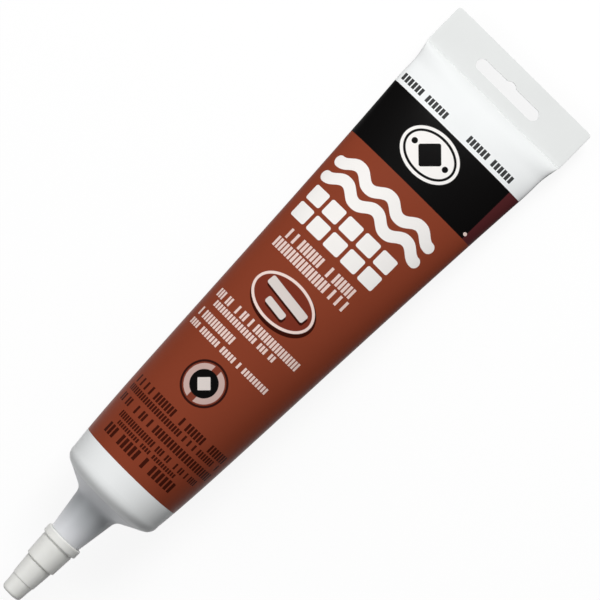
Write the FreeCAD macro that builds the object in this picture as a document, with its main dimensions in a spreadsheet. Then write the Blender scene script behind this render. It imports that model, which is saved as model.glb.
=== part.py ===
import FreeCAD, Part
import math
import os
import Sketcher

# Caulk squeeze tube lying on its back, in millimetres.
# Each piece is drawn along its own X axis: 0 is the front edge of the sleeve, the nozzle
# points to -X and the flat crimp lies at +X. One placement then lays all pieces on z = 0.

SIZES = [
    ("tube_diameter", 40.0, "outside of the sleeve where it is round"),
    ("sleeve_length", 204.5, "front edge of the sleeve to the cut end of the crimp"),
    ("sleeve_wall", 0.6, "thickness of the plastic sleeve"),
    ("rim_radius", 4.3, "rounding where the sleeve turns in over the shoulder"),
    ("lip_length", 1.9, "flat edge of the sleeve on the shoulder, before the rounding"),
    ("collar_length", 0.9, "stretch behind the rounding that stays round"),
    ("belly_share", 0.95, "thickness of the filled belly against the round end"),
    ("belly_power", 0.5, "how that thickness falls towards the crimp"),
    ("collar_power", 12.0, "how fast the round end gives way to the belly"),
    ("rest_end", 125.0, "rear end of the flat strip that the belly lies on"),
    ("crimp_length", 16.0, "length of the heat-sealed flat end"),
    ("crimp_corner", 1.2, "rounding of the two cut corners of the crimp"),
    ("hole_length", 28.5, "hang hole across the crimp, end to end"),
    ("hole_width", 4.4, "hang hole along the tube"),
    ("hole_to_end", 9.0, "middle of the hang hole to the cut end"),
    ("notch_radius", 2.5, "rounding of the centring notch in the hang hole"),
    ("notch_depth", 1.0, "how far the notch reaches past the edge of the hole"),
    ("shoulder_angle", 62.6, "slope of the shoulder cone against the axis, in degrees"),
    ("shoulder_wall", 1.4, "thickness of the shoulder cone"),
    ("spigot_length", 1.6, "depth of the shoulder's ring inside the sleeve"),
    ("spigot_wall", 1.2, "thickness of that ring"),
    ("nozzle_length", 40.8, "root of the nozzle to its closed tip"),
    ("root_diameter", 17.3, "nozzle outside at its root"),
    ("tip_diameter", 4.6, "nozzle outside at its tip"),
    ("nozzle_wall", 1.2, "thickness of the nozzle"),
    ("tip_wall", 1.0, "plastic across the uncut tip"),
    ("root_fillet", 2.0, "rounding between nozzle and shoulder"),
    ("tip_bevel", 0.5, "bevel of the nozzle tip"),
    ("cap_gap", 0.15, "clearance all round between cap and nozzle"),
    ("cap_end_gap", 0.3, "clearance between the nozzle tip and the cap's end wall"),
    ("cap_end_wall", 1.5, "thickness of the cap's closed end"),
    ("cap_end_bevel", 1.0, "bevel of the cap's closed end"),
    ("step_one_length", 6.4, "first step of the cap"),
    ("step_one_front", 1.7, "its wall at the closed end"),
    ("step_one_back", 1.25, "its wall at the next step"),
    ("step_two_length", 8.2, "second step of the cap"),
    ("step_two_front", 1.5, "its wall at its front"),
    ("step_two_back", 0.9, "its wall at the next step"),
    ("step_three_length", 8.2, "third step of the cap"),
    ("step_three_front", 1.55, "its wall at its front"),
    ("step_three_back", 0.75, "its wall at the groove before the ring"),
    ("step_bevel", 0.4, "bevel of each step's front edge"),
    ("groove_length", 1.1, "groove between the last step and the ring"),
    ("groove_wall", 0.5, "wall left at the bottom of that groove"),
    ("ring_length", 2.9, "grip ring round the mouth of the cap"),
    ("ring_wall", 0.9, "wall of the grip ring at the mouth"),
    ("ring_bevel", 0.45, "bevel of the grip ring"),
]

document = FreeCAD.newDocument("caulk_tube")
sheet = document.addObject("Spreadsheet::Sheet", "Sizes")
for row, (alias, size, note) in enumerate(SIZES, start=1):
    sheet.set("A%d" % row, alias)
    sheet.set("B%d" % row, str(size))
    sheet.set("C%d" % row, note)
    sheet.setAlias("B%d" % row, alias)
document.recompute()


def by_name(formula):
    """Put the sheet's name before every size that a formula names."""
    words = formula.replace("(", "( ").replace(")", " )").replace(";", " ;").split()
    aliases = {alias for alias, size, note in SIZES}
    return " ".join("Sizes." + word if word in aliases else word for word in words)


def value(formula):
    """Number that a formula gives with the sizes in the sheet."""
    return float(sheet.evalExpression(by_name(formula)))


def tie(target, path, formula):
    """Bind one property of an object to a formula of named sizes."""
    target.setExpression(path, by_name(formula))


def new_body(label):
    """Body for one physical piece."""
    piece = document.addObject("PartDesign::Body", label)
    piece.Label = label
    return piece


def new_sketch(piece, name, role, offset=None):
    """Sketch on one of the body's own origin planes, moved along its normal by a formula."""
    sketch = piece.newObject("Sketcher::SketchObject", name)
    plane = next(item for item in piece.Origin.OriginFeatures if item.Role == role)
    sketch.AttachmentSupport = (plane, [""])
    sketch.MapMode = "FlatFace"
    if offset is not None:
        tie(sketch, "AttachmentOffset.Base.z", offset)
    return sketch


def bind(sketch, formula, *constraint):
    """Add one dimension to a sketch and tie it to a formula."""
    index = sketch.addConstraint(Sketcher.Constraint(*constraint, value(formula)))
    tie(sketch, "Constraints[%d]" % index, formula)


def draw_outline(sketch, corners):
    """Closed outline through corners given as pairs of formulas.

    A side is straight, or an arc that turns left where its first corner also has a radius.
    """
    points = [FreeCAD.Vector(value(corner[0]), value(corner[1]), 0) for corner in corners]
    count = len(points)
    for index, point in enumerate(points):
        end = points[(index + 1) % count]
        side = Part.LineSegment(point, end)
        if len(corners[index]) == 3:
            radius, chord = value(corners[index][2]), end - point
            left = FreeCAD.Vector(-chord.y, chord.x, 0).normalize()
            middle = (point + end) / 2
            centre = middle + left * math.sqrt(radius ** 2 - (chord.Length / 2) ** 2)
            circle = Part.Circle(centre, FreeCAD.Vector(0, 0, 1), radius)
            side = Part.ArcOfCircle(circle, circle.parameter(point), circle.parameter(end))
        sketch.addGeometry(side, False)
    for index, corner in enumerate(corners):
        before = (index - 1) % count
        sketch.addConstraint(Sketcher.Constraint("Coincident", before, 2, index, 1))
        bind(sketch, corner[0], "DistanceX", index, 1)
        bind(sketch, corner[1], "DistanceY", index, 1)
        if len(corner) == 3:
            bind(sketch, corner[2], "Radius", index)


def revolve(piece, name, corners):
    """Turn an outline of (distance along X, radius) corners once round the X axis."""
    sketch = new_sketch(piece, name + "_outline", "XY_Plane")
    draw_outline(sketch, corners)
    turned = piece.newObject("PartDesign::Revolution", name)
    turned.Profile = sketch
    turned.ReferenceAxis = (sketch, ["H_Axis"])
    turned.Angle = 360
    document.recompute()
    return turned


def ring_edges(base, rings):
    """Names of the circular edges at the given (distance along X, radius) formulas."""
    edges = []
    for along, ring_radius in rings:
        for number, edge in enumerate(base.Shape.Edges, start=1):
            if not isinstance(edge.Curve, Part.Circle):
                continue
            same_place = abs(edge.Curve.Center.x - value(along)) < 1e-4
            if same_place and abs(edge.Curve.Radius - value(ring_radius)) < 1e-4:
                edges.append("Edge%d" % number)
    return edges


def bevel_rings(piece, name, size, rings):
    """Bevel circular edges of the body at equal legs."""
    edges = (piece.Tip, ring_edges(piece.Tip, rings))
    bevel = piece.newObject("PartDesign::Chamfer", name)
    bevel.Base = edges
    tie(bevel, "Size", size)
    document.recompute()


# Radii and places that several pieces share, as formulas of the named sizes
SLOPE = "tan( shoulder_angle * 1deg )"
TUBE_RADIUS = "tube_diameter / 2"
# The sleeve's edge lies where its rounding and its flat lip have turned in from the outside
ROUNDING_IN = "rim_radius * ( 1 - cos( shoulder_angle * 1deg ) )"
LIP_IN = "lip_length * sin( shoulder_angle * 1deg )"
SEAT_RADIUS = f"( {TUBE_RADIUS} - {ROUNDING_IN} - {LIP_IN} )"
ROOT_RADIUS = "root_diameter / 2"
TIP_RADIUS = "tip_diameter / 2"
SPIGOT_OUTSIDE = f"( {SEAT_RADIUS} - sleeve_wall )"
SPIGOT_INSIDE = f"( {SEAT_RADIUS} - sleeve_wall - spigot_wall )"
BORE_ROOT = "( root_diameter / 2 - nozzle_wall )"
BORE_TIP = "( tip_diameter / 2 - nozzle_wall )"
RIM_X = f"( {TUBE_RADIUS} - {SEAT_RADIUS} ) / {SLOPE}"
# Where the rounding has ended and the sleeve has been round for a while
ROUND_X = f"( {RIM_X} + rim_radius * tan( shoulder_angle * 0.5deg ) + collar_length )"
ROOT_X = f"( {ROOT_RADIUS} - {SEAT_RADIUS} ) / {SLOPE}"
TIP_X = f"( {ROOT_X} - nozzle_length )"
TAPER_ANGLE = f"atan( ( {ROOT_RADIUS} - {TIP_RADIUS} ) / nozzle_length )"
# How far the rounding at the nozzle's root reaches along each of the two slopes
ROOT_REACH = f"root_fillet * tan( ( shoulder_angle * 1deg - {TAPER_ANGLE} ) / 2 )"
# The shoulder's underside is its outer cone moved inwards by the wall
UNDERSIDE = f"shoulder_wall / sin( shoulder_angle * 1deg ) - {SEAT_RADIUS} / {SLOPE}"
SPIGOT_FOOT_X = f"{UNDERSIDE} + {SPIGOT_INSIDE} / {SLOPE}"
BORE_ROOT_X = f"{UNDERSIDE} + {BORE_ROOT} / {SLOPE}"

CRIMP_X = "( sleeve_length - crimp_length )"
CRIMP_HALF = "sleeve_wall"


def half_thickness(share):
    """Half the tube's thickness at a share of the way from its round end to the crimp."""
    belly = f"belly_share * pow( 1 - {share} ; belly_power )"
    collar = f"( 1 - belly_share ) * pow( 1 - {share} ; collar_power )"
    # Kept just inside the crimp's own thickness where the two meet
    return f"( {TUBE_RADIUS} * ( {belly} + {collar} ) + 0.9 * {CRIMP_HALF} * {share} )"


def half_width(half_thick):
    """Half the width of an ellipse that keeps the girth of the round sleeve."""
    girth = f"( 6 * tube_diameter - 8 * {half_thick} )"
    rest = f"( 6 * {half_thick} ^ 2 - 6 * tube_diameter * {half_thick} + tube_diameter ^ 2 )"
    return f"( {girth} + sqrt( {girth} ^ 2 - 24 * {rest} ) ) / 12"


def share_at(along):
    """Share of the way from the round end to the crimp at a distance along X."""
    return f"( ( {along} - {ROUND_X} ) / ( {CRIMP_X} - {ROUND_X} ) )"


def draw_ellipse(sketch, half_wide, half_high):
    """Ellipse centred on the sketch's origin, its long axis level."""
    shape = Part.Ellipse(FreeCAD.Vector(0, 0, 0), value(half_wide), value(half_high))
    sketch.addGeometry(shape, False)
    sketch.exposeInternalGeometry(0)
    sketch.addConstraint(Sketcher.Constraint("Coincident", 0, 3, -1, 1))
    sketch.addConstraint(Sketcher.Constraint("Horizontal", 1))
    bind(sketch, f"2 * {half_wide}", "Distance", 1)
    bind(sketch, f"2 * {half_high}", "Distance", 2)


def draw_slot(sketch, middle, length, width):
    """Slot with round ends, its long way up the sketch, centred at a distance along X."""
    radius, reach = value(width) / 2, value(length) / 2 - value(width) / 2
    across, up = FreeCAD.Vector(value(middle), 0, 0), FreeCAD.Vector(0, reach, 0)
    side = FreeCAD.Vector(radius, 0, 0)
    turn = FreeCAD.Vector(0, 0, 1)
    half_turn = math.pi
    sketch.addGeometry([
        Part.ArcOfCircle(Part.Circle(across + up, turn, radius), 0, half_turn),
        Part.LineSegment(across + up - side, across - up - side),
        Part.ArcOfCircle(Part.Circle(across - up, turn, radius), half_turn, 2 * half_turn),
        Part.LineSegment(across - up + side, across + up + side),
    ], False)
    for first, second, end in ((0, 1, 1), (1, 2, 1), (2, 3, 1), (3, 0, 1)):
        sketch.addConstraint(Sketcher.Constraint("Tangent", first, 2, second, end))
    sketch.addConstraint(Sketcher.Constraint("Equal", 0, 2))
    sketch.addConstraint(Sketcher.Constraint("Symmetric", 0, 3, 2, 3, -1))
    bind(sketch, middle, "DistanceX", 0, 3)
    bind(sketch, f"( {length} - {width} ) / 2", "DistanceY", 0, 3)
    bind(sketch, f"{width} / 2", "Radius", 0)


def cut_through(piece, name, sketch):
    """Cut a sketch out of the body, right through it both ways."""
    cut = piece.newObject("PartDesign::Pocket", name)
    cut.Profile = sketch
    cut.Type = "ThroughAll"
    cut.SideType = "Symmetric"
    document.recompute()
    return cut


# Printed sleeve with its filling: sealed, so it is one solid. The front is turned, the long
# part is lofted through ellipses that all have the girth of the round sleeve, and the crimp
# is a slab as thick as the two walls that are sealed together.
sleeve = new_body("tube_sleeve")
revolve(sleeve, "shoulder_rim", [
    (ROUND_X, "0"),
    (ROUND_X, TUBE_RADIUS),
    (f"{RIM_X} + rim_radius * tan( shoulder_angle * 0.5deg )", TUBE_RADIUS, "rim_radius"),
    ("lip_length * cos( shoulder_angle * 1deg )", f"{SEAT_RADIUS} + {LIP_IN}"),
    ("0", SEAT_RADIUS),
    ("0", SPIGOT_OUTSIDE),
    ("spigot_length", SPIGOT_OUTSIDE),
    ("spigot_length", SPIGOT_INSIDE),
    (SPIGOT_FOOT_X, SPIGOT_INSIDE),
    (BORE_ROOT_X, BORE_ROOT),
    (BORE_ROOT_X, "0"),
])

LOFT_STEPS = 24
sections = []
for step in range(LOFT_STEPS + 1):
    # Sections crowd towards both ends, where the thickness changes fastest
    share = (1 - math.cos(math.pi * step / LOFT_STEPS)) / 2
    place = f"{ROUND_X} + {share:.4f} * ( {CRIMP_X} - {ROUND_X} )"
    section = new_sketch(sleeve, "section_%02d" % step, "YZ_Plane", place)
    if step == 0:
        section.addGeometry(Part.Circle(FreeCAD.Vector(0, 0, 0), FreeCAD.Vector(0, 0, 1),
                                        value(TUBE_RADIUS)), False)
        section.addConstraint(Sketcher.Constraint("Coincident", 0, 3, -1, 1))
        bind(section, TUBE_RADIUS, "Radius", 0)
    else:
        thick = half_thickness(f"{share:.4f}")
        draw_ellipse(section, half_width(thick), thick)
    sections.append(section)
document.recompute()
barrel = sleeve.newObject("PartDesign::AdditiveLoft", "barrel")
barrel.Profile = sections[0]
barrel.Sections = sections[1:]
barrel.Ruled = True
document.recompute()

FLAT_HALF_WIDTH = half_width("0")
crimp_outline = new_sketch(sleeve, "crimp_outline", "XY_Plane")
draw_outline(crimp_outline, [
    (CRIMP_X, f"-1 * {FLAT_HALF_WIDTH}"),
    ("sleeve_length", f"-1 * {FLAT_HALF_WIDTH}"),
    ("sleeve_length", FLAT_HALF_WIDTH),
    (CRIMP_X, FLAT_HALF_WIDTH),
])
crimp = sleeve.newObject("PartDesign::Pad", "crimp")
crimp.Profile = crimp_outline
crimp.SideType = "Symmetric"
tie(crimp, "Length", f"2 * {CRIMP_HALF}")
document.recompute()

corner_edges = []
for number, edge in enumerate(crimp.Shape.Edges, start=1):
    middle = edge.CenterOfMass
    at_end = abs(middle.x - value("sleeve_length")) < 1e-4
    if at_end and abs(abs(middle.y) - value(FLAT_HALF_WIDTH)) < 1e-4:
        corner_edges.append("Edge%d" % number)
corners = sleeve.newObject("PartDesign::Fillet", "crimp_corners")
corners.Base = (crimp, corner_edges)
tie(corners, "Radius", "crimp_corner")
document.recompute()

HOLE_X = "( sleeve_length - hole_to_end )"
hole_outline = new_sketch(sleeve, "hang_hole_outline", "XY_Plane")
draw_slot(hole_outline, HOLE_X, "hole_length", "hole_width")
cut_through(sleeve, "hang_hole", hole_outline)

notch_outline = new_sketch(sleeve, "hang_notch_outline", "XY_Plane")
NOTCH_X = f"{HOLE_X} + hole_width / 2 + notch_depth - notch_radius"
notch_outline.addGeometry(Part.Circle(FreeCAD.Vector(value(NOTCH_X), 0, 0),
                                      FreeCAD.Vector(0, 0, 1), value("notch_radius")), False)
notch_outline.addConstraint(Sketcher.Constraint("PointOnObject", 0, 3, -1))
bind(notch_outline, NOTCH_X, "DistanceX", 0, 3)
bind(notch_outline, "notch_radius", "Radius", 0)
cut_through(sleeve, "hang_notch", notch_outline)

# The tube lies on its stiff round end and on its soft belly, which settles flat. The floor's
# line joins the bottom of the round end to the underside at rest_end.
REST_REAR = half_thickness(share_at("rest_end"))
REST_SLOPE = f"( {TUBE_RADIUS} - {REST_REAR} ) / ( rest_end - {ROUND_X} )"


def floor_line(along):
    """Height of the floor in the tube's own frame at a distance along X."""
    return f"( {along} - {ROUND_X} ) * {REST_SLOPE} - {TUBE_RADIUS}"


floor_outline = new_sketch(sleeve, "belly_flat_outline", "XZ_Plane")
BELOW = "-2 * tube_diameter"
draw_outline(floor_outline, [
    ("-1 * nozzle_length", floor_line("-1 * nozzle_length")),
    ("-1 * nozzle_length", BELOW),
    ("sleeve_length + crimp_length", BELOW),
    ("sleeve_length + crimp_length", floor_line("( sleeve_length + crimp_length )")),
])
cut_through(sleeve, "belly_flat", floor_outline)

# Moulded shoulder and nozzle: one hollow piece, its tip still closed, with a short ring
# that goes into the sleeve under the sleeve's edge.
head = new_body("nozzle_head")
revolve(head, "moulding", [
    (TIP_X, "0"),
    (TIP_X, TIP_RADIUS),
    (f"{ROOT_X} - {ROOT_REACH} * cos( {TAPER_ANGLE} )",
     f"{ROOT_RADIUS} - {ROOT_REACH} * sin( {TAPER_ANGLE} )", "root_fillet"),
    (f"{ROOT_X} + {ROOT_REACH} * cos( shoulder_angle * 1deg )",
     f"{ROOT_RADIUS} + {ROOT_REACH} * sin( shoulder_angle * 1deg )"),
    ("0", SEAT_RADIUS),
    ("0", SPIGOT_OUTSIDE),
    ("spigot_length", SPIGOT_OUTSIDE),
    ("spigot_length", SPIGOT_INSIDE),
    (SPIGOT_FOOT_X, SPIGOT_INSIDE),
    (BORE_ROOT_X, BORE_ROOT),
    (f"{TIP_X} + tip_wall", BORE_TIP),
    (f"{TIP_X} + tip_wall", "0"),
])
bevel_rings(head, "tip_bevelled", "tip_bevel", [(TIP_X, TIP_RADIUS)])

# Moulded cap: three plain steps and a grip ring outside, and inside a bore with the
# nozzle's own taper, wider by the clearance. Every outside is that bore plus a wall.
cap = new_body("tip_cap")
CAP_X = f"( {TIP_X} - cap_end_gap - cap_end_wall )"
STEP_TWO_X = f"( {CAP_X} + step_one_length )"
STEP_THREE_X = f"( {STEP_TWO_X} + step_two_length )"
GROOVE_X = f"( {STEP_THREE_X} + step_three_length )"
GROOVE_FLOOR_X = f"( {GROOVE_X} + groove_length / 2 )"
RING_X = f"( {GROOVE_X} + groove_length )"
MOUTH_X = f"( {RING_X} + ring_length )"
BORE_END_X = f"( {TIP_X} - cap_end_gap )"
TAPER = f"( {ROOT_RADIUS} - {TIP_RADIUS} ) / nozzle_length"


def bore_radius(along):
    """Radius of the cap's bore at a distance along X."""
    return f"( {TIP_RADIUS} + ( {along} - {TIP_X} ) * {TAPER} + cap_gap )"


def outside(along, wall):
    """Radius of the cap's outside where it has a given wall."""
    return f"( {bore_radius(along)} + {wall} )"


END_RADIUS = outside(CAP_X, "step_one_front")
RING_RADIUS = outside(MOUTH_X, "ring_wall")
revolve(cap, "stepped_body", [
    (CAP_X, "0"),
    (CAP_X, END_RADIUS),
    (STEP_TWO_X, outside(STEP_TWO_X, "step_one_back")),
    (STEP_TWO_X, outside(STEP_TWO_X, "step_two_front")),
    (STEP_THREE_X, outside(STEP_THREE_X, "step_two_back")),
    (STEP_THREE_X, outside(STEP_THREE_X, "step_three_front")),
    (GROOVE_X, outside(GROOVE_X, "step_three_back")),
    (GROOVE_FLOOR_X, outside(GROOVE_FLOOR_X, "groove_wall")),
    (RING_X, RING_RADIUS),
    (MOUTH_X, RING_RADIUS),
    (MOUTH_X, bore_radius(MOUTH_X)),
    (BORE_END_X, bore_radius(BORE_END_X)),
    (BORE_END_X, "0"),
])
bevel_rings(cap, "end_bevelled", "cap_end_bevel", [(CAP_X, END_RADIUS)])
for name, along, front, back in (
        ("step_two_bevelled", STEP_TWO_X, "step_two_front", "step_one_back"),
        ("step_three_bevelled", STEP_THREE_X, "step_three_front", "step_two_back")):
    # The bevel is never as deep as the step itself
    bevel_rings(cap, name, f"min( step_bevel ; 0.8 * ( {front} - {back} ) )",
                [(along, outside(along, front))])
bevel_rings(cap, "ring_bevelled", "min( ring_bevel ; 0.8 * ring_wall )",
            [(RING_X, RING_RADIUS), (MOUTH_X, RING_RADIUS)])

# How the tube comes to rest: turned until the flat strip is level, lifted until it is at
# z = 0, and moved along until the middle of the whole length is at x = 0.
TILT = f"atan( {REST_SLOPE} )"
NEAR_END = f"( {CAP_X} * cos( {TILT} ) - ( {END_RADIUS} - cap_end_bevel ) * sin( {TILT} ) )"
FAR_END = f"( sleeve_length * cos( {TILT} ) + {CRIMP_HALF} * sin( {TILT} ) )"
for piece in (sleeve, head, cap):
    piece.Placement = FreeCAD.Placement(FreeCAD.Vector(0, 0, 0),
                                        FreeCAD.Rotation(FreeCAD.Vector(0, 1, 0), 1))
    tie(piece, "Placement.Rotation.Angle", TILT)
    tie(piece, "Placement.Base.x", f"-1 * ( {NEAR_END} + {FAR_END} ) / 2")
    tie(piece, "Placement.Base.z", f"{ROUND_X} * sin( {TILT} ) + {TUBE_RADIUS} * cos( {TILT} )")
document.recompute()

for item in document.Objects:
    if "Invalid" in item.State or "Error" in item.State:
        raise RuntimeError("%s failed: %s" % (item.Name, item.State))
os.makedirs("parts", exist_ok=True)
for piece in (sleeve, head, cap):
    shape = piece.Shape
    if shape.isNull() or not shape.isValid() or len(shape.Solids) != 1:
        raise RuntimeError("%s is not one valid solid" % piece.Label)
    shape.exportStep(os.path.join("parts", piece.Label + ".step"))
    box = shape.optimalBoundingBox(True, False)
    print("%-12s %9.2f mm3  x %.2f..%.2f  y %.2f..%.2f  z %.2f..%.2f" % (
        piece.Label, shape.Volume, box.XMin, box.XMax, box.YMin, box.YMax, box.ZMin, box.ZMax))
print("rest: turned %.5f degrees about Y, moved %.5f along X and %.5f up" % (
    value(TILT), sleeve.Placement.Base.x, sleeve.Placement.Base.z))
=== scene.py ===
import math

import bmesh
import bpy
import numpy as np
from mathutils import Matrix, Vector


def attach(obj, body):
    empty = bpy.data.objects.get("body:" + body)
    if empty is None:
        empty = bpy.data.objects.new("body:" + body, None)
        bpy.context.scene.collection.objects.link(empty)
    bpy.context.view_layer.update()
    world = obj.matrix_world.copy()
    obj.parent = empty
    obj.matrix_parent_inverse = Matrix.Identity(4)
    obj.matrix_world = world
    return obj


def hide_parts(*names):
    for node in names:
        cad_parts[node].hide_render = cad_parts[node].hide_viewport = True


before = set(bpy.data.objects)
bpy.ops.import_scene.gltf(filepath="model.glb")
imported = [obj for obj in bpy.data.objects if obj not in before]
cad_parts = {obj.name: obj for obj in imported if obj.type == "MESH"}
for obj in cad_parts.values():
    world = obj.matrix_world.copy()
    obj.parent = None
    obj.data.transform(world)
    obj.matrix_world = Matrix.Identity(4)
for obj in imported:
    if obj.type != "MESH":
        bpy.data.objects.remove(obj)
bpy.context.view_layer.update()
scene = bpy.context.scene
scene.view_settings.view_transform = "Standard"

# The sleeve: an extruded white polyethylene tube, printed, varnished and filled from its open
# end, which is then pressed flat and heat-sealed. A hang hole with a centring notch is punched
# through the seal, and the front edge is rolled in over the moulded shoulder.
REST_TILT = math.radians(4.04901)
REST_MOVE = np.array([-78.7697, 0.0, 20.3449])
TUBE_RADIUS = 20.0
SHOULDER_SLOPE = math.radians(62.6)
RIM_ROUNDING = 4.3
LIP_LENGTH = 1.9
COLLAR_LENGTH = 0.9
SEAT_RADIUS = (TUBE_RADIUS - RIM_ROUNDING * (1 - math.cos(SHOULDER_SLOPE))
               - LIP_LENGTH * math.sin(SHOULDER_SLOPE))
SLEEVE_LENGTH = 204.5
CRIMP_START = 188.5
CRIMP_HALF_THICK = 0.6
CRIMP_CORNER = 1.2
HOLE_MIDDLE = SLEEVE_LENGTH - 9.0
HOLE_HALF_LENGTH = 14.25
HOLE_HALF_WIDTH = 2.2
NOTCH_RADIUS = 2.5
NOTCH_DEPTH = 1.0
FILLING_FRONT = 1.8
EAR_PLACE = 181.5
EAR_SPREAD = 5.0
EAR_DEPTH = 0.45
FLATTENING_START = 180.0
SLEEVE_COLUMNS = 320
SHARP_ANGLE = math.radians(38)


def lay_down(points):
    """Turn points of the tube's own frame, in mm, by the angle at which it rests, in metres."""
    x, y, z = points[..., 0], points[..., 1], points[..., 2]
    turned_x = x * math.cos(REST_TILT) + z * math.sin(REST_TILT)
    turned_z = z * math.cos(REST_TILT) - x * math.sin(REST_TILT)
    return (np.stack([turned_x, y, turned_z], axis=-1) + REST_MOVE) / 1000


def round_corners(corners, steps=7):
    """Outline through (x, radius, rounding) corners.

    Each corner gives way to an arc that touches both sides. It is drawn as the sides' two unit
    directions turning into each other, from the centre of the circle that touches both.
    """
    points = np.array([corner[:2] for corner in corners], float)
    rounding = np.array([corner[2] for corner in corners], float)[1:-1, None]
    before = points[:-2] - points[1:-1]
    after = points[2:] - points[1:-1]
    before /= np.linalg.norm(before, axis=1, keepdims=True)
    after /= np.linalg.norm(after, axis=1, keepdims=True)
    middle = before + after
    middle /= np.linalg.norm(middle, axis=1, keepdims=True)
    half_angle = np.arccos(np.clip((before * middle).sum(axis=1, keepdims=True), -1, 1))
    centre = points[1:-1] + middle * rounding / np.sin(half_angle)
    start = before * rounding / np.tan(half_angle) + points[1:-1] - centre
    end = after * rounding / np.tan(half_angle) + points[1:-1] - centre
    share = np.linspace(0, 1, steps)[None, :, None]
    turn = np.pi - 2 * half_angle[:, None]
    # Turning evenly from the arc's start to its end
    weight = np.sin(np.maximum(turn, 1e-6))
    arc = (start[:, None] * np.sin((1 - share) * turn) + end[:, None] * np.sin(share * turn)) / weight
    rounded = (centre[:, None] + arc).reshape(-1, 2)
    return np.vstack([points[:1], rounded, points[-1:]])


def skin(name, points, flat_map=None):
    """Closed mesh of a grid of points whose columns run once round the piece.

    Rows that have shrunk to one point or to one line are merged there. The flat map, one column
    wider than the grid, gives every corner of a face its place on the unrolled surface.
    """
    rows, columns = points.shape[:2]
    row, column = np.meshgrid(np.arange(rows - 1), np.arange(columns), indexing="ij")
    beside = (column + 1) % columns
    faces = np.stack([row * columns + column, row * columns + beside,
                      (row + 1) * columns + beside, (row + 1) * columns + column], axis=-1)
    mesh = bpy.data.meshes.new(name)
    mesh.from_pydata(points.reshape(-1, 3).tolist(), [], faces.reshape(-1, 4).tolist())
    if flat_map is not None:
        corners = np.stack([flat_map[row, column], flat_map[row, column + 1],
                            flat_map[row + 1, column + 1], flat_map[row + 1, column]], axis=2)
        layer = mesh.uv_layers.new(name="unrolled")
        layer.uv.foreach_set("vector", corners.astype(np.float32).ravel())
    shell = bmesh.new()
    shell.from_mesh(mesh)
    bmesh.ops.remove_doubles(shell, verts=shell.verts, dist=1e-4)
    bmesh.ops.dissolve_degenerate(shell, edges=shell.edges, dist=1e-5)
    shell.to_mesh(mesh)
    shell.free()
    return mesh


def place(name, mesh, body, node):
    """Lay a mesh of the tube's own frame down, as an object at the origin for a CAD node."""
    spots = np.empty(len(mesh.vertices) * 3, np.float32)
    mesh.vertices.foreach_get("co", spots)
    resting = lay_down(spots.reshape(-1, 3).astype(float))
    mesh.vertices.foreach_set("co", resting.astype(np.float32).ravel())
    mesh.update()
    mesh.shade_smooth()
    mesh.set_sharp_from_angle(angle=SHARP_ANGLE)
    piece = bpy.data.objects.new(name, mesh)
    scene.collection.objects.link(piece)
    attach(piece, body)
    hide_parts(node)
    return piece


def half_thickness(along):
    """Half the filled tube's thickness: it falls as the square root of the way left."""
    share = np.clip((along - ROUND_END) / (CRIMP_START - ROUND_END), 0, 1)
    return TUBE_RADIUS * (0.95 * (1 - share) ** 0.5 + 0.05 * (1 - share) ** 12) + 0.54 * share


def half_width(half_thick):
    """Half the width of the ellipse that keeps the girth of the round tube."""
    diameter = 2 * TUBE_RADIUS
    girth = 6 * diameter - 8 * half_thick
    rest = 6 * half_thick ** 2 - 6 * diameter * half_thick + diameter ** 2
    return (girth + np.sqrt(girth ** 2 - 24 * rest)) / 12


rim_corner = (TUBE_RADIUS - SEAT_RADIUS) / math.tan(SHOULDER_SLOPE)
ROUND_END = rim_corner + RIM_ROUNDING * math.tan(SHOULDER_SLOPE / 2) + COLLAR_LENGTH
# From the filling's front, hidden behind the shoulder, over the lip and round the rim
front = round_corners([
    (FILLING_FRONT, 0, 0), (FILLING_FRONT, SEAT_RADIUS - 0.5, 0.1), (-0.05, SEAT_RADIUS - 0.5, 0.1),
    (-0.05, SEAT_RADIUS + 0.06, 0.14), (rim_corner - 0.03, TUBE_RADIUS, RIM_ROUNDING),
    (ROUND_END, TUBE_RADIUS, 0)], steps=11)[:-1]
barrel_share = (1 - np.cos(np.pi * np.linspace(0, 1, 151))) / 2
barrel = ROUND_END + barrel_share * (CRIMP_START - ROUND_END)
crimp = np.concatenate([np.linspace(CRIMP_START + 0.8, SLEEVE_LENGTH - CRIMP_CORNER, 24),
                        SLEEVE_LENGTH - CRIMP_CORNER * (1 - np.sin(np.linspace(0.2, 1.57, 7)))])
along = np.concatenate([front[:, 0], barrel, crimp, [SLEEVE_LENGTH]])
high = np.concatenate([front[:, 1], np.maximum(half_thickness(barrel), CRIMP_HALF_THICK),
                       np.full(len(crimp), CRIMP_HALF_THICK), [0.0]])
wide = np.concatenate([front[:, 1], half_width(half_thickness(barrel)),
                       np.full(len(crimp) + 1, half_width(0.0))])
# The two walls draw in a little before the seal, which leaves a small ear on each side
wide -= EAR_DEPTH * np.exp(-(((along - EAR_PLACE) / EAR_SPREAD) ** 2)) * (along < CRIMP_START)
corner_depth = np.clip(along - (SLEEVE_LENGTH - CRIMP_CORNER), 0, CRIMP_CORNER)
wide -= CRIMP_CORNER - np.sqrt(CRIMP_CORNER ** 2 - corner_depth ** 2)
# Round sections turn into flat ones with square edges where the walls meet
flatness = np.clip((along - FLATTENING_START) / (CRIMP_START - FLATTENING_START), 0, 1)
power = (1 - 0.86 * flatness ** 2 * (3 - 2 * flatness))[:, None]
turn = np.linspace(-np.pi, np.pi, SLEEVE_COLUMNS + 1)[None, :]
across = -wide[:, None] * np.sin(turn)
up = high[:, None] * np.sign(np.cos(turn)) * np.abs(np.cos(turn)) ** power
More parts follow.
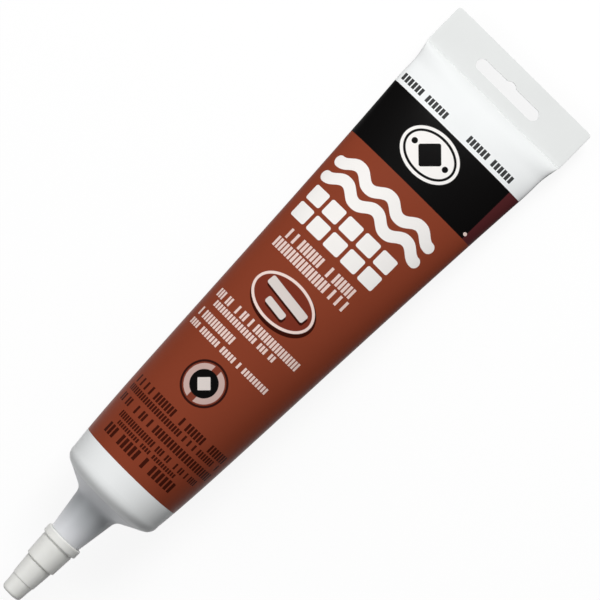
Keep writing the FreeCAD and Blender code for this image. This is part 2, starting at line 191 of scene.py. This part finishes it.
# The belly has settled flat where it lies
floor_height = (along[:, None] - ROUND_END) * math.tan(REST_TILT) - TUBE_RADIUS
up = np.where(along[:, None] > ROUND_END, np.maximum(up, floor_height), up)
sleeve_points = np.stack([np.broadcast_to(along[:, None], up.shape), across, up], axis=-1)
# Way round the tube from the middle of its front, positive towards -Y, and way along it
step_round = np.linalg.norm(np.diff(sleeve_points, axis=1), axis=2)
way_round = np.concatenate([np.zeros((len(along), 1)), np.cumsum(step_round, axis=1)], axis=1)
way_round -= way_round[:, SLEEVE_COLUMNS // 2][:, None]
unrolled = np.stack([way_round, np.broadcast_to(along[:, None], way_round.shape)], axis=-1)
sleeve_mesh = skin("printed_sleeve", sleeve_points[:, :-1], unrolled)

# The punch for the hang hole: a slot with round ends, joined with the round notch
half_circle = np.linspace(0, np.pi, 25)
slot_ends = np.concatenate([
    np.stack([HOLE_HALF_WIDTH * np.cos(half_circle),
              HOLE_HALF_LENGTH - HOLE_HALF_WIDTH + HOLE_HALF_WIDTH * np.sin(half_circle)], axis=-1),
    np.stack([-HOLE_HALF_WIDTH * np.cos(half_circle),
              HOLE_HALF_WIDTH - HOLE_HALF_LENGTH - HOLE_HALF_WIDTH * np.sin(half_circle)], axis=-1)])
notch_middle = HOLE_HALF_WIDTH + NOTCH_DEPTH - NOTCH_RADIUS
notch_half = math.acos((HOLE_HALF_WIDTH - notch_middle) / NOTCH_RADIUS)
notch_turn = np.linspace(-notch_half, notch_half, 14)
notch = np.stack([notch_middle + NOTCH_RADIUS * np.cos(notch_turn),
                  NOTCH_RADIUS * np.sin(notch_turn)], axis=-1)
outline = np.concatenate([slot_ends, notch])
count = len(outline)
below = np.column_stack([outline[:, 0] + HOLE_MIDDLE, outline[:, 1], np.full(count, -4.0)])
above = below + [0, 0, 8.0]
walls = [[i, (i + 1) % count, (i + 1) % count + count, i + count] for i in range(count)]
punch_mesh = bpy.data.meshes.new("punch")
punch_mesh.from_pydata(np.vstack([below, above]).tolist(), [],
                       walls + [list(range(count))[::-1], list(range(count, 2 * count))])
punch = bpy.data.objects.new("punch", punch_mesh)
blank = bpy.data.objects.new("blank", sleeve_mesh)
scene.collection.objects.link(punch)
scene.collection.objects.link(blank)
hole = blank.modifiers.new("hang_hole", "BOOLEAN")
hole.operation, hole.solver, hole.object = "DIFFERENCE", "EXACT", punch
bpy.context.view_layer.update()
punched = bpy.data.meshes.new_from_object(
    blank.evaluated_get(bpy.context.evaluated_depsgraph_get()))
bpy.data.objects.remove(blank)
bpy.data.objects.remove(punch)
sleeve = place("printed_sleeve", punched, "tube", "tube_sleeve")


def srgb(code):
    """Linear colour of an sRGB hex value."""
    parts = np.array([int(code[i:i + 2], 16) / 255 for i in (1, 3, 5)])
    linear = np.where(parts <= 0.04045, parts / 12.92, ((parts + 0.055) / 1.055) ** 2.4)
    return (*linear.tolist(), 1.0)


def add_node(tree, kind, inputs=(), **settings):
    """Add a node, make its settings, and fill inputs with values or other nodes' outputs."""
    made = tree.nodes.new("ShaderNode" + kind)
    for name, setting in settings.items():
        setattr(made, name, setting)
    for socket, source in dict(inputs).items():
        if isinstance(source, bpy.types.NodeSocket):
            tree.links.new(source, made.inputs[socket])
        else:
            made.inputs[socket].default_value = source
    return made


def new_finish(piece, name):
    """Put an empty material on a piece, and give its node tree and its Principled shader."""
    finish = bpy.data.materials.new(name)
    piece.data.materials.clear()
    piece.data.materials.append(finish)
    finish.use_nodes = True
    tree = finish.node_tree
    tree.nodes.clear()
    shader = add_node(tree, "BsdfPrincipled")
    add_node(tree, "OutputMaterial", {0: shader.outputs[0]})
    return tree, shader


INK_EDGE = 0.07
ROWS_SPAN = 80.0
BLOCK_SHARE = 0.68
LEFT_OUT = 0.14


def ink_bar(tree, spot, middle, size, corner=0.3, turned=0.0):
    """Ink inside a bar: nearer to its core than the radius of its corners."""
    moved = add_node(tree, "VectorMath", {0: spot, 1: (*middle, 0)}, operation="SUBTRACT")
    if turned:
        moved = add_node(tree, "VectorRotate", {"Vector": moved.outputs[0], "Angle": turned},
                         rotation_type="Z_AXIS")
    mirrored = add_node(tree, "VectorMath", {0: moved.outputs[0]}, operation="ABSOLUTE")
    core = (size[0] / 2 - corner, size[1] / 2 - corner, 0)
    outside = add_node(tree, "VectorMath", {0: mirrored.outputs[0], 1: core}, operation="SUBTRACT")
    capped = add_node(tree, "VectorMath", {0: outside.outputs[0], 1: (0, 0, 0)}, operation="MAXIMUM")
    far = add_node(tree, "VectorMath", {0: capped.outputs[0]}, operation="LENGTH")
    return add_node(tree, "MapRange", {0: far.outputs["Value"], 1: corner + INK_EDGE,
                                       2: corner - INK_EDGE}).outputs[0]


def ink_oval(tree, spot, middle, half_axes):
    """Ink inside an oval: its offset, divided by the half axes, is shorter than 1."""
    moved = add_node(tree, "VectorMath", {0: spot, 1: (*middle, 0)}, operation="SUBTRACT")
    scaled = add_node(tree, "VectorMath", {0: moved.outputs[0], 1: (*half_axes, 1)},
                      operation="DIVIDE")
    far = add_node(tree, "VectorMath", {0: scaled.outputs[0]}, operation="LENGTH")
    edge = INK_EDGE / min(half_axes)
    return add_node(tree, "MapRange", {0: far.outputs["Value"], 1: 1 + edge, 2: 1 - edge}).outputs[0]


def ink_wave(tree, spot, middle, wavelength, swing, length, thick):
    """Ink of a wavy ribbon: nearer to a cosine line than half its thickness, with round ends.

    The distance to the line is the offset along the tube, divided by the root of 1 plus the
    square of the line's slope. The length is whole waves, so that both ends lie level.
    """
    bend = 2 * math.pi / wavelength
    moved = add_node(tree, "VectorMath", {0: spot, 1: (*middle, 0)}, operation="SUBTRACT")
    parts = add_node(tree, "SeparateXYZ", {0: moved.outputs[0]})
    phase = add_node(tree, "Math", {0: parts.outputs[0], 1: bend}, operation="MULTIPLY")
    level = add_node(tree, "Math", {0: phase.outputs[0]}, operation="COSINE")
    lean = add_node(tree, "Math", {0: phase.outputs[0]}, operation="SINE")
    off = add_node(tree, "Math", {0: level.outputs[0], 1: -swing, 2: parts.outputs[1]},
                   operation="MULTIPLY_ADD")
    off = add_node(tree, "Math", {0: off.outputs[0]}, operation="ABSOLUTE")
    slope = add_node(tree, "Math", {0: lean.outputs[0], 1: swing * bend}, operation="MULTIPLY")
    slope = add_node(tree, "Math", {0: slope.outputs[0], 1: slope.outputs[0], 2: 1.0},
                     operation="MULTIPLY_ADD")
    root = add_node(tree, "Math", {0: slope.outputs[0]}, operation="SQRT")
    far = add_node(tree, "Math", {0: off.outputs[0], 1: root.outputs[0]}, operation="DIVIDE")
    line = add_node(tree, "MapRange", {0: far.outputs[0], 1: thick / 2 + INK_EDGE,
                                       2: thick / 2 - INK_EDGE})
    field = ink_bar(tree, spot, middle, (length, thick + 4 * swing), 0.1)
    ribbon = add_node(tree, "Math", {0: line.outputs[0], 1: field}, operation="MULTIPLY")
    end_level = middle[1] + swing * math.cos(bend * length / 2)
    for way in (-1, 1):
        end = ink_oval(tree, spot, (middle[0] + way * length / 2, end_level), (thick / 2, thick / 2))
        ribbon = add_node(tree, "Math", {0: ribbon.outputs[0], 1: end}, operation="MAXIMUM")
    return ribbon.outputs[0]


def ink_rows(tree, round_way, along_way, rows):
    """Ink of rows of small blocks: (start along, end along, start round, end round, pitch).

    One ramp along the tube holds each row's two ends, its number and the pitch of its blocks.
    Blocks fill two thirds of their pitch, one in seven is left out, and a block is drawn whole
    or not at all, by the place of its middle.
    """
    share = add_node(tree, "Math", {0: along_way, 1: SLEEVE_LENGTH}, operation="DIVIDE")
    ramp = add_node(tree, "ValToRGB", {0: share.outputs[0]})
    stops = ramp.color_ramp
    stops.interpolation = "CONSTANT"
    stops.elements.remove(stops.elements[1])
    stops.elements[0].position, stops.elements[0].color = 0, (1, 0, 0, 1)
    for number, (start, end, first, last, pitch) in enumerate(sorted(rows), start=1):
        stop = stops.elements.new(start / SLEEVE_LENGTH)
        stop.color = (first / ROWS_SPAN + 0.5, last / ROWS_SPAN + 0.5, number / 20, pitch / 10)
        stops.elements.new(end / SLEEVE_LENGTH).color = (1, 0, 0, 1)
    limits = add_node(tree, "SeparateColor", {0: ramp.outputs["Color"]})
    blocks = add_node(tree, "Math", {0: round_way, 1: ramp.outputs["Alpha"]}, operation="DIVIDE")
    blocks = add_node(tree, "Math", {0: blocks.outputs[0], 1: 0.1}, operation="MULTIPLY")
    blocks = add_node(tree, "Math", {0: limits.outputs[2], 1: 377.0, 2: blocks.outputs[0]},
                      operation="MULTIPLY_ADD")
    within = add_node(tree, "Math", {0: blocks.outputs[0]}, operation="FRACT")
    # The way round of each block's middle, as a share of the 80 mm that the ramp's colours hold
    aside = add_node(tree, "Math", {0: 0.5, 1: within.outputs[0]}, operation="SUBTRACT")
    aside = add_node(tree, "Math", {0: aside.outputs[0], 1: ramp.outputs["Alpha"]},
                     operation="MULTIPLY")
    middle = add_node(tree, "Math", {0: aside.outputs[0], 1: 10.0, 2: round_way},
                      operation="MULTIPLY_ADD")
    scaled = add_node(tree, "Math", {0: middle.outputs[0], 1: 1 / ROWS_SPAN, 2: 0.5},
                      operation="MULTIPLY_ADD")
    after = add_node(tree, "Math", {0: scaled.outputs[0], 1: limits.outputs[0]},
                     operation="GREATER_THAN")
    before = add_node(tree, "Math", {0: scaled.outputs[0], 1: limits.outputs[1]},
                      operation="LESS_THAN")
    inside = add_node(tree, "Math", {0: after.outputs[0], 1: before.outputs[0]},
                      operation="MULTIPLY")
    filled = add_node(tree, "Math", {0: within.outputs[0], 1: 0.5, 2: BLOCK_SHARE / 2},
                      operation="COMPARE")
    number = add_node(tree, "Math", {0: blocks.outputs[0]}, operation="FLOOR")
    chance = add_node(tree, "TexWhiteNoise", {"W": number.outputs[0]}, noise_dimensions="1D")
    kept = add_node(tree, "Math", {0: chance.outputs["Value"], 1: LEFT_OUT}, operation="GREATER_THAN")
    shown = add_node(tree, "Math", {0: filled.outputs[0], 1: kept.outputs[0]}, operation="MULTIPLY")
    return add_node(tree, "Math", {0: shown.outputs[0], 1: inside.outputs[0]},
                    operation="MULTIPLY").outputs[0]


def lay_ink(tree, under, ink, colour, strength=1.0):
    """Colour after one ink is laid over what is there, where the ink's own field is 1."""
    if strength != 1.0:
        ink = add_node(tree, "Math", {0: ink, 1: strength}, operation="MULTIPLY").outputs[0]
    colour = srgb(colour) if isinstance(colour, str) else colour
    return add_node(tree, "Mix", {0: ink, 6: under, 7: colour}, data_type="RGBA").outputs[2]


def cut_ink(tree, ink, other):
    """Ink where the other isn't."""
    left = add_node(tree, "Math", {0: 1.0, 1: other}, operation="SUBTRACT")
    return add_node(tree, "Math", {0: ink, 1: left.outputs[0]}, operation="MULTIPLY").outputs[0]


# Printed polyethylene: flat inks under a dull clear varnish, the same weak sheen on every ink,
# so that only the colour changes. Film drawn over a thick filling is slightly uneven.
WHITE_FILM = "#f1f3f3"
CLEAR_FILM = "#e8eae9"
WHITE_INK = "#f6f3f0"
PALE_INK = "#f1dad2"
RED_BROWN = "#883f2a"
# Dark brown of the band all round, its darkness partly painted shade
BAND_BROWN_AND_SHADE = "#532527"
DARK_BROWN = "#38120a"
BLACK_INK = "#0e0d0d"
BADGE_EDGE = "#331511"
BADGE_BROWN = "#7d3b2b"
OVAL_BROWN = "#7a3324"
BADGE_WHITE = "#ddd3ce"
tree, shader = new_finish(sleeve, "varnished_printed_polyethylene")
unrolled_map = add_node(tree, "UVMap", uv_map="unrolled")
ways = add_node(tree, "SeparateXYZ", {0: unrolled_map.outputs[0]})
round_way, along_way = ways.outputs[0], ways.outputs[1]
spot = unrolled_map.outputs[0]
# Black blocks beside the panel, 1.65 mm from one to the next, with a quarter of that between them
BLOCK_PITCH = 1.65
BLOCK_GAP = 0.26
count_round = add_node(tree, "Math", {0: round_way, 1: 1 / BLOCK_PITCH}, operation="MULTIPLY")
part_round = add_node(tree, "Math", {0: count_round.outputs[0]}, operation="FRACT")
block_gaps = add_node(tree, "Math", {0: part_round.outputs[0], 1: BLOCK_GAP},
                      operation="LESS_THAN").outputs[0]
# The brown field and a darker band go all round, and the black panel covers the front only. The band's
# dark colour is partly painted shade, darkened for the shade along the tube's lower side beside the
# panel
bare_seal = add_node(tree, "MapRange", {0: along_way, 1: 184.5, 2: 190.5})
film = add_node(tree, "Mix", {0: bare_seal.outputs[0], 6: srgb(WHITE_FILM), 7: srgb(CLEAR_FILM)},
                data_type="RGBA")
brown = ink_bar(tree, spot, (0, 91.8), (400, 158.4), corner=0.1)
band_with_painted_shade = ink_bar(tree, spot, (0, 159.6), (400, 22.8), corner=0.1)
panel = ink_bar(tree, spot, (-3.05, 159.6), (56.7, 22.8), corner=0.15)
colour = lay_ink(tree, film.outputs[2], brown, RED_BROWN)
colour = lay_ink(tree, colour, band_with_painted_shade, BAND_BROWN_AND_SHADE)
colour = lay_ink(tree, colour, panel, BLACK_INK)
# A plain oval with a line round it, a lozenge and two dots
plate_middle = (-3.2, 160.6)
plate = ink_oval(tree, spot, plate_middle, (11.6, 8.6))
plate_line = ink_oval(tree, spot, plate_middle, (10.5, 7.5))
plate_core = ink_oval(tree, spot, plate_middle, (9.6, 6.6))
colour = lay_ink(tree, colour, plate, WHITE_INK)
colour = lay_ink(tree, colour, cut_ink(tree, plate_line, plate_core), BLACK_INK)
lozenge = ink_bar(tree, spot, plate_middle, (7.8, 7.8), 0.8, math.pi / 4)
colour = lay_ink(tree, colour, lozenge, BLACK_INK)
for way in (-1, 1):
    dot = ink_oval(tree, spot, (plate_middle[0] + way * 7.2, plate_middle[1]), (1.1, 1.1))
    colour = lay_ink(tree, colour, dot, BLACK_INK)
colour = lay_ink(tree, colour, ink_oval(tree, spot, (24.9, 150.0), (0.8, 0.65)), PALE_INK)
# Two beads of sealant, laid in waves, over two rows of wall tiles
for bead_place in (132.5, 139.4):
    bead = ink_wave(tree, spot, (-2.65, bead_place), 14.4, 1.6, 43.2, 4.2)
    colour = lay_ink(tree, colour, bead, WHITE_INK)
for column in range(5):
    for row in range(2):
        tile = ink_bar(tree, spot, (-21.0 + 8.2 * column, 116.3 + 7.6 * row), (6.8, 6.1),
                       corner=0.8)
        colour = lay_ink(tree, colour, tile, WHITE_INK)
# Oval badge with its shadow towards the nozzle
shadow = ink_oval(tree, spot, (-2.9, 89.3), (13.3, 8.9))
oval = ink_oval(tree, spot, (-3.6, 90.0), (12.9, 8.3))
oval_inside = ink_oval(tree, spot, (-3.6, 90.0), (11.9, 7.3))
colour = lay_ink(tree, colour, shadow, DARK_BROWN)
colour = lay_ink(tree, colour, oval, PALE_INK)
colour = lay_ink(tree, colour, oval_inside, OVAL_BROWN)
for middle, size in (((-3.2, 91.9), (18.6, 3.4)), ((-4.0, 86.9), (9.0, 2.6))):
    below = ink_bar(tree, spot, (middle[0] + 0.6, middle[1] - 0.8), size, 0.8, 0.12)
    colour = lay_ink(tree, colour, below, DARK_BROWN)
    colour = lay_ink(tree, colour, ink_bar(tree, spot, middle, size, 0.8, 0.12), BADGE_WHITE)
# Round badge: ring, ring of pale segments, black middle with a pale lozenge
badge_middle = (-3.2, 51.8)
colour = lay_ink(tree, colour, ink_oval(tree, spot, badge_middle, (8.3, 8.3)), BADGE_EDGE)
colour = lay_ink(tree, colour, ink_oval(tree, spot, badge_middle, (7.5, 7.5)), BADGE_BROWN)
colour = lay_ink(tree, colour, ink_oval(tree, spot, badge_middle, (7.0, 7.0)), PALE_INK, 0.55)
colour = lay_ink(tree, colour, ink_bar(tree, spot, badge_middle, (2.6, 14.4)), BADGE_BROWN)
colour = lay_ink(tree, colour, ink_oval(tree, spot, badge_middle, (5.0, 5.0)), BLACK_INK)
colour = lay_ink(tree, colour, ink_bar(tree, spot, badge_middle, (4.4, 4.4), 0.3, math.pi / 4),
                 BADGE_WHITE)
# Rows of fine blocks, between 1.1 and 1.9 mm from one to the next
pale_rows = [(105.9, 110.0, -21.0, 12.8, 1.5), (101.0, 104.9, -21.0, 12.8, 1.5),
             (75.5, 78.8, -23.6, 16.3, 1.3), (72.0, 74.9, -21.8, 8.3, 1.3),
             (67.0, 70.0, -24.6, -5.1, 1.3), (62.4, 65.4, -24.9, 14.1, 1.3)]
dark_rows = [(35.4, 38.4, -24.1, 24.1, 1.4), (32.1, 34.4, -24.5, 24.5, 1.2),
             (27.7, 30.7, -24.9, 24.9, 1.4), (23.7, 25.6, -18.1, 21.8, 1.1),
             (21.2, 22.5, -15.8, 12.5, 1.1), (16.4, 20.5, -18.3, 15.1, 1.9)]
colour = lay_ink(tree, colour, ink_rows(tree, round_way, along_way, pale_rows), PALE_INK, 0.9)
colour = lay_ink(tree, colour, ink_rows(tree, round_way, along_way, dark_rows), DARK_BROWN, 0.95)
for first, last in ((-18, -12), (-11, -5), (1, 7), (8, 14)):
    bar_start, bar_end = (first + BLOCK_GAP) * BLOCK_PITCH, last * BLOCK_PITCH
    bar = ink_bar(tree, spot, ((bar_start + bar_end) / 2, 174.0), (bar_end - bar_start, 2.7), 0.2)
    colour = lay_ink(tree, colour, cut_ink(tree, bar, block_gaps), BLACK_INK, 0.95)
# Ink lies a little unevenly: clouds about 25 mm across, a few hundredths lighter or darker
place_on_tube = add_node(tree, "TexCoord")
clouds = add_node(tree, "TexNoise", {"Vector": place_on_tube.outputs["Object"], "Scale": 40.0,
                                     "Detail": 2.0})
shade = add_node(tree, "MapRange", {0: clouds.outputs[0], 3: 0.96, 4: 1.03})
tinted = add_node(tree, "Mix", {0: 1.0, 6: colour, 7: shade.outputs[0]}, data_type="RGBA",
                  blend_type="MULTIPLY")
# Film grain about 0.4 mm wide and a soft unevenness about 12 mm wide
grain = add_node(tree, "TexNoise", {"Vector": place_on_tube.outputs["Object"], "Scale": 2500.0,
                                    "Detail": 1.0})
swell = add_node(tree, "TexNoise", {"Vector": place_on_tube.outputs["Object"], "Scale": 85.0,
                                    "Detail": 1.0})
fine_bump = add_node(tree, "Bump", {"Strength": 0.12, "Distance": 0.00004,
                                    "Height": grain.outputs[0]})
soft_bump = add_node(tree, "Bump", {"Strength": 0.25, "Distance": 0.0004,
                                    "Height": swell.outputs[0], "Normal": fine_bump.outputs[0]})
tree.links.new(tinted.outputs[2], shader.inputs["Base Color"])
tree.links.new(soft_bump.outputs[0], shader.inputs["Normal"])
shader.inputs["Roughness"].default_value = 0.32
shader.inputs["IOR"].default_value = 1.5
shader.inputs["Specular IOR Level"].default_value = 0.04

# The head: shoulder and nozzle in one piece of unpigmented high-density polyethylene, injection
# moulded with its tip still closed, and welded into the sleeve. It is cut open at first use.
NOZZLE_LENGTH = 40.8
ROOT_RADIUS = 8.65
TIP_RADIUS = 2.3
LATHE_COLUMNS = 192
root_place = (ROOT_RADIUS - SEAT_RADIUS) / math.tan(SHOULDER_SLOPE)
tip_place = root_place - NOZZLE_LENGTH


def turn_round(name, profile):
    """Lathed mesh: every (x, radius) point of the profile goes once round the tube's axis."""
    angle = np.linspace(0, 2 * np.pi, LATHE_COLUMNS, endpoint=False)[None, :]
    x = np.broadcast_to(profile[:, :1], (len(profile), LATHE_COLUMNS))
    points = np.stack([x, profile[:, 1:] * np.sin(angle), profile[:, 1:] * np.cos(angle)], axis=-1)
    return skin(name, points[:, ::-1])


def fill_lines(profile, longest):
    """Profile with points added on its long sides, so that no side is longer than given."""
    sides = np.linalg.norm(np.diff(profile, axis=0), axis=1)
    counts = np.maximum(np.ceil(sides / longest).astype(int), 1)
    place_on = np.concatenate([start + np.arange(many) / many
                               for start, many in enumerate(counts)] + [[len(sides)]])
    whole = np.arange(len(profile))
    return np.column_stack([np.interp(place_on, whole, profile[:, side]) for side in (0, 1)])


head_profile = round_corners([
    (tip_place, 0, 0), (tip_place, TIP_RADIUS, 0.5), (root_place, ROOT_RADIUS, 3.4),
    (0, SEAT_RADIUS, 0.05), (0, SEAT_RADIUS - 0.6, 0.05), (1.6, SEAT_RADIUS - 0.6, 0.1),
    (1.6, SEAT_RADIUS - 1.8, 0.1), (0.3, SEAT_RADIUS - 1.8, 0.3),
    (root_place + 1.6, ROOT_RADIUS - 1.2, 0.5), (tip_place + 1.0, TIP_RADIUS - 1.2, 0.3),
    (tip_place + 1.0, 0, 0)])
head_mesh = turn_round("moulded_head", fill_lines(head_profile, 0.8))
head = place("moulded_head", head_mesh, "tube", "nozzle_head")

# Unpigmented polyethylene: waxy, greyish, cloudy over about 8 mm, and flat in its shading, with
# the mould's fine matt skin, drawn about 0.3 mm wide so that it shows
tree, shader = new_finish(head, "moulded_natural_polyethylene")
place_on_head = add_node(tree, "TexCoord")
cloud = add_node(tree, "TexNoise", {"Vector": place_on_head.outputs["Object"], "Scale": 120.0,
                                    "Detail": 3.0})
body_colour = add_node(tree, "Mix", {0: cloud.outputs[0], 6: srgb("#e3e4e7"), 7: srgb("#ebecef")},
                       data_type="RGBA")
# Round the root, over about 11 mm to each side, the colour is painted greyer: painted shade where the
# shoulder shades the nozzle's root
tube_way = (math.cos(REST_TILT) * 1000, 0, -math.sin(REST_TILT) * 1000)
along_head = add_node(tree, "VectorMath", {0: place_on_head.outputs["Object"], 1: tube_way},
                      operation="DOT_PRODUCT")
start_of_way = REST_MOVE[0] * math.cos(REST_TILT) - REST_MOVE[2] * math.sin(REST_TILT)
from_root = add_node(tree, "Math", {0: along_head.outputs["Value"],
                                    1: start_of_way + root_place - 4.0}, operation="SUBTRACT")
from_root = add_node(tree, "Math", {0: from_root.outputs[0]}, operation="ABSOLUTE")
painted_root_shade = add_node(tree, "MapRange", {0: from_root.outputs[0], 1: 11.0, 2: 0.0, 3: 0.0, 4: 1.0},
                      interpolation_type="SMOOTHSTEP")
# Painted shade mixed into the nozzle's colour round its root
body_colour = add_node(tree, "Mix", {0: painted_root_shade.outputs[0], 6: body_colour.outputs[2],
                                     7: srgb("#c9cccf")}, data_type="RGBA")
skin_grain = add_node(tree, "TexNoise", {"Vector": place_on_head.outputs["Object"],
                                         "Scale": 3300.0, "Detail": 2.0})
skin_bump = add_node(tree, "Bump", {"Strength": 0.2, "Distance": 0.00003,
                                    "Height": skin_grain.outputs[0]})
tree.links.new(body_colour.outputs[2], shader.inputs["Base Color"])
tree.links.new(skin_bump.outputs[0], shader.inputs["Normal"])
shader.inputs["Roughness"].default_value = 0.45
shader.inputs["Diffuse Roughness"].default_value = 0.8
shader.inputs["IOR"].default_value = 1.53
shader.inputs["Subsurface Weight"].default_value = 0.15
shader.inputs["Subsurface Radius"].default_value = (0.002, 0.002, 0.002)
shader.inputs["Subsurface Scale"].default_value = 1.0

# The cap: a stepped cone of softer polyethylene with a grip ring round its mouth, moulded
# hollow with the nozzle's own taper and pushed over the nozzle, where it holds by friction.
CAP_GAP = 0.15
taper = (ROOT_RADIUS - TIP_RADIUS) / NOZZLE_LENGTH
cap_end = tip_place - 1.8


def over_bore(x, wall):
    """Outside radius where the cap has the given wall over its tapered bore."""
    return TIP_RADIUS + (x - tip_place) * taper + CAP_GAP + wall


step_two = cap_end + 6.4
step_three = step_two + 8.2
groove = step_three + 8.2
grip_ring = groove + 1.1
mouth = grip_ring + 2.9
ring_radius = over_bore(mouth, 0.9)
cap_profile = round_corners([
    (cap_end, 0, 0), (cap_end, over_bore(cap_end, 1.7), 1.3),
    (step_two, over_bore(step_two, 1.25), 0.12), (step_two, over_bore(step_two, 1.5), 0.2),
    (step_three - 0.5, over_bore(step_three, 0.9), 0.1), (step_three, over_bore(step_three, 0.6), 0.1),
    (step_three, over_bore(step_three, 1.55), 0.35),
    (groove, over_bore(groove, 0.75), 0.2), (groove + 0.55, over_bore(groove, 0.55), 0.2),
    (grip_ring, ring_radius, 0.45), (mouth, ring_radius, 0.45),
    (mouth, over_bore(mouth, 0), 0.15), (tip_place - 0.3, over_bore(tip_place - 0.3, 0), 0.3),
    (tip_place - 0.3, 0, 0)])
cap_mesh = turn_round("moulded_cap", fill_lines(cap_profile, 0.6))
cap = place("moulded_cap", cap_mesh, "cap", "tip_cap")

# Off-white polyethylene, moulded: a soft sheen and a fine skin, a shade warmer than the nozzle
tree, shader = new_finish(cap, "moulded_off_white_polyethylene")
place_on_cap = add_node(tree, "TexCoord")
cap_cloud = add_node(tree, "TexNoise", {"Vector": place_on_cap.outputs["Object"],
                                        "Scale": 150.0, "Detail": 2.0})
cap_colour = add_node(tree, "Mix", {0: cap_cloud.outputs[0], 6: srgb("#f0f0eb"),
                                    7: srgb("#f5f5f1")}, data_type="RGBA")
cap_grain = add_node(tree, "TexNoise", {"Vector": place_on_cap.outputs["Object"],
                                        "Scale": 3300.0, "Detail": 2.0})
cap_bump = add_node(tree, "Bump", {"Strength": 0.2, "Distance": 0.00003,
                                   "Height": cap_grain.outputs[0]})
tree.links.new(cap_colour.outputs[2], shader.inputs["Base Color"])
tree.links.new(cap_bump.outputs[0], shader.inputs["Normal"])
shader.inputs["Roughness"].default_value = 0.42
shader.inputs["IOR"].default_value = 1.51
shader.inputs["Subsurface Weight"].default_value = 0.1
shader.inputs["Subsurface Radius"].default_value = (0.002, 0.002, 0.0018)
shader.inputs["Subsurface Scale"].default_value = 1.0

# The studio: a floor that shows nearly white to the camera and still takes the tube's shadow,
# three large soft lamps, the main one above the sealed end, and a weak even light all round.
LAMP_DISTANCE = 1.1
floor_mesh = bpy.data.meshes.new("floor")
floor_mesh.from_pydata([(-3, -3, 0), (3, -3, 0), (3, 3, 0), (-3, 3, 0)], [], [(0, 1, 2, 3)])
floor = bpy.data.objects.new("floor", floor_mesh)
scene.collection.objects.link(floor)
pale = bpy.data.materials.new("pale_floor")
pale.use_nodes = True
tree = pale.node_tree
tree.nodes.clear()
matt = add_node(tree, "BsdfDiffuse", {0: srgb("#5c5c5c")})
glow = add_node(tree, "Emission", {0: (1, 1, 1, 1), 1: 0.9})
lit = add_node(tree, "AddShader", {0: matt.outputs[0], 1: glow.outputs[0]})
rays = add_node(tree, "LightPath")
seen = add_node(tree, "Math", {0: rays.outputs["Is Camera Ray"], 1: rays.outputs["Is Glossy Ray"]},
                operation="MAXIMUM")
seen = add_node(tree, "Math", {0: seen.outputs[0], 1: rays.outputs["Is Transmission Ray"]},
                operation="MAXIMUM")
shown_floor = add_node(tree, "MixShader", {0: seen.outputs[0], 1: matt.outputs[0],
                                           2: lit.outputs[0]})
add_node(tree, "OutputMaterial", {0: shown_floor.outputs[0]})
floor_mesh.materials.append(pale)

world = bpy.data.worlds.new("studio")
scene.world = world
world.use_nodes = True
tree = world.node_tree
tree.nodes.clear()
rays = add_node(tree, "LightPath")
level = add_node(tree, "MapRange", {0: rays.outputs["Is Camera Ray"], 3: 0.05, 4: 1.0})
air = add_node(tree, "Background", {0: (1, 1, 1, 1), 1: level.outputs[0]})
add_node(tree, "OutputWorld", {0: air.outputs[0]})

# The camera looks square onto the tube's middle plane, as in the photograph, with the tube
# lying 45.36 degrees up to the right in a picture 205.1 mm wide.
axis = Vector((math.cos(REST_TILT), 0, -math.sin(REST_TILT)))
normal = Vector((math.sin(REST_TILT), 0, math.cos(REST_TILT)))
side = Vector((0, 1, 0))
PICTURE_ANGLE = math.radians(45.36)
PICTURE_WIDTH = 0.2051
LENS, SENSOR = 200, 36
right = math.cos(PICTURE_ANGLE) * axis - math.sin(PICTURE_ANGLE) * side
upward = math.sin(PICTURE_ANGLE) * axis + math.cos(PICTURE_ANGLE) * side
aim = Vector(lay_down(np.array([94.6, -0.02, 0.0])))
lens = bpy.data.cameras.new("camera")
lens.lens, lens.sensor_width = LENS, SENSOR
camera = bpy.data.objects.new("camera", lens)
scene.collection.objects.link(camera)
turned_camera = Matrix((right, upward, normal)).transposed().to_4x4()
camera.matrix_world = Matrix.Translation(aim + normal * PICTURE_WIDTH * LENS / SENSOR) @ turned_camera
scene.camera = camera

for name, way, size, energy in (
        ("main_lamp", 0.66 * axis + 0.17 * side + 0.72 * normal, 0.5, 10.9),
        ("side_lamp", -0.55 * axis + 0.65 * side + 0.55 * normal, 0.8, 4.0),
        ("fill_lamp", -0.5 * axis - 0.45 * side + 0.75 * normal, 0.8, 1.5)):
    way.normalize()
    lamp_data = bpy.data.lights.new(name, "AREA")
    lamp_data.shape, lamp_data.size, lamp_data.energy = "SQUARE", size, energy
    lamp = bpy.data.objects.new(name, lamp_data)
    scene.collection.objects.link(lamp)
    lamp.location = aim + way * LAMP_DISTANCE
    lamp.rotation_euler = way.to_track_quat("Z", "Y").to_euler()
